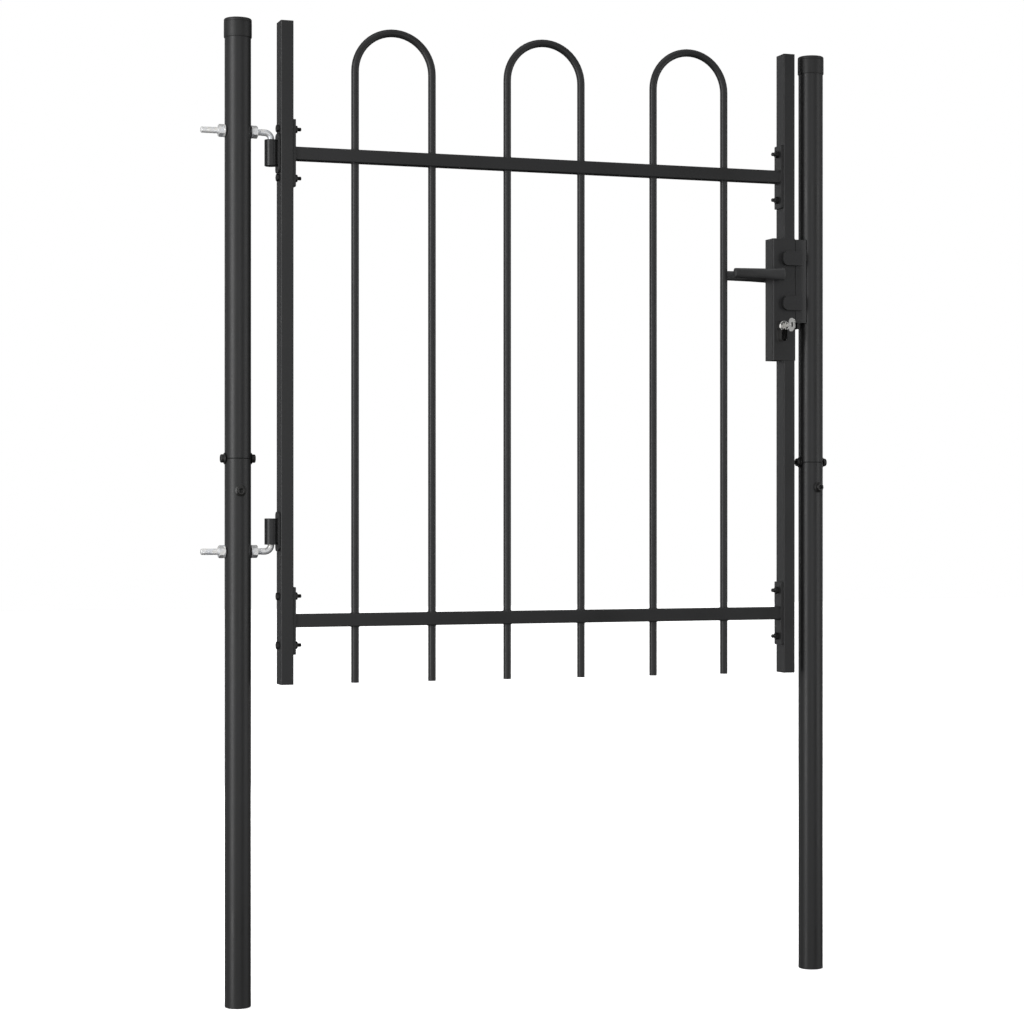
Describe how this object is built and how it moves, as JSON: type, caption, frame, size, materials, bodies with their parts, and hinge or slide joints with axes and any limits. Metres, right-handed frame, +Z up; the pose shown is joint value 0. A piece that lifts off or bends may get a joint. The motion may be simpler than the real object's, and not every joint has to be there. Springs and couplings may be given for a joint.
{
  "type": "garden gate",
  "caption": "Hoop-top metal garden gate between two round posts, hung on adjustable J-bolt hinges, with a box lock, lever handles, key and strike.",
  "frame": {"origin": "centre of the hinge post's foot, on the underside of the post", "axes": "+X from the hinge post to the latch post, +Y to the side the gate opens towards (the key goes in from -Y), +Z up along the posts"},
  "size_m": [1.0438, 0.0986, 1.5],
  "materials": {
    "powder_coat": "black polyester powder coat, satin",
    "cap_plastic": "moulded black polyethylene",
    "bush_plastic": "moulded black acetal",
    "black_fastener": "black oxide steel, satin",
    "lever_coat": "black coated die-cast alloy, satin",
    "zinc": "bright zinc plated",
    "bare_tube": "galvanised tube",
    "bare_steel": "machined steel",
    "spring_steel": "drawn spring wire",
    "nickel": "satin nickel plated brass",
    "key_nickel": "nickel plated nickel silver"
  },
  "bodies": {
    "posts": {"hinge_post_lower": "powder_coat", "hinge_post_upper": "powder_coat", "hinge_post_sleeve": "bare_tube", "hinge_post_cap": "cap_plastic", "hinge_post_joint_bolts": "black_fastener", "hinge_post_weld_nuts": "zinc", "latch_post_lower": "powder_coat", "latch_post_upper": "powder_coat", "latch_post_sleeve": "bare_tube", "latch_post_cap": "cap_plastic", "latch_post_joint_bolts": "black_fastener", "latch_post_weld_nuts": "zinc", "upper_hinge_bolt": "zinc", "lower_hinge_bolt": "zinc", "hinge_bolt_nuts": "zinc", "hinge_bolt_washers": "zinc", "strike": "powder_coat", "strike_screws": "zinc"},
    "leaf": {"hinge_stile": "powder_coat", "latch_stile_upper": "powder_coat", "latch_stile_lower": "powder_coat", "stile_end_plugs": "cap_plastic", "top_rail": "powder_coat", "bottom_rail": "powder_coat", "hinge_side_end_plates": "powder_coat", "latch_side_end_plates": "powder_coat", "rail_bolts": "black_fastener", "rail_nuts": "black_fastener", "hoop_1": "powder_coat", "hoop_2": "powder_coat", "hoop_3": "powder_coat", "upper_hinge_plate": "powder_coat", "lower_hinge_plate": "powder_coat", "upper_hinge_barrel": "powder_coat", "lower_hinge_barrel": "powder_coat", "lock_case": "powder_coat", "lock_faceplate": "powder_coat", "faceplate_screws": "zinc", "cylinder_fixing_screw": "zinc", "cylinder_body": "nickel", "rear_plug": "nickel", "latch_spring": "spring_steel", "lever_bushes": "bush_plastic"},
    "handle": {"front_lever": "lever_coat", "rear_lever": "lever_coat", "spindle": "bare_steel", "follower": "bare_steel", "lever_set_screws": "black_fastener"},
    "latch": {"latch_bolt": "bare_steel"},
    "dead_bolt": {"dead_bolt": "bare_steel"},
    "plug": {"front_plug": "nickel", "cam": "bare_steel"},
    "key": {"key": "key_nickel"}
  },
  "joints": [
    {"name": "gate_swing", "type": "hinge", "parent": "posts", "child": "leaf", "pos_m": [0.0515, 0, 0], "axis": [0, 0, 1], "range_deg": [0, 100]},
    {"name": "handle_turn", "type": "hinge", "parent": "leaf", "child": "handle", "pos_m": [0.8955, 0, 1.1375], "axis": [0, -1, 0], "range_deg": [0, 40], "stiffness_Nm_per_rad": 1.2, "springref_deg": -20.05},
    {"name": "latch_slide", "type": "slide", "parent": "leaf", "child": "latch", "axis": [-1, 0, 0], "range_m": [0, 0.0094], "deforming": ["latch_spring"]},
    {"name": "key_turn", "type": "hinge", "parent": "leaf", "child": "plug", "pos_m": [0.9, 0, 1.0535], "axis": [0, 1, 0], "range_deg": [0, 360]},
    {"name": "dead_bolt_slide", "type": "slide", "parent": "leaf", "child": "dead_bolt", "axis": [1, 0, 0], "range_m": [0, 0.014]},
    {"name": "key_withdraw", "type": "slide", "parent": "plug", "child": "key", "axis": [0, -1, 0], "range_m": [0, 0.03]}
  ],
  "couplings": [
    {"joint": "latch_slide", "follows": "handle_turn", "m_per_rad": 0.01332},
    {"joint": "key_turn", "follows": "dead_bolt_slide", "rad_per_m": 448.79}
  ]
}
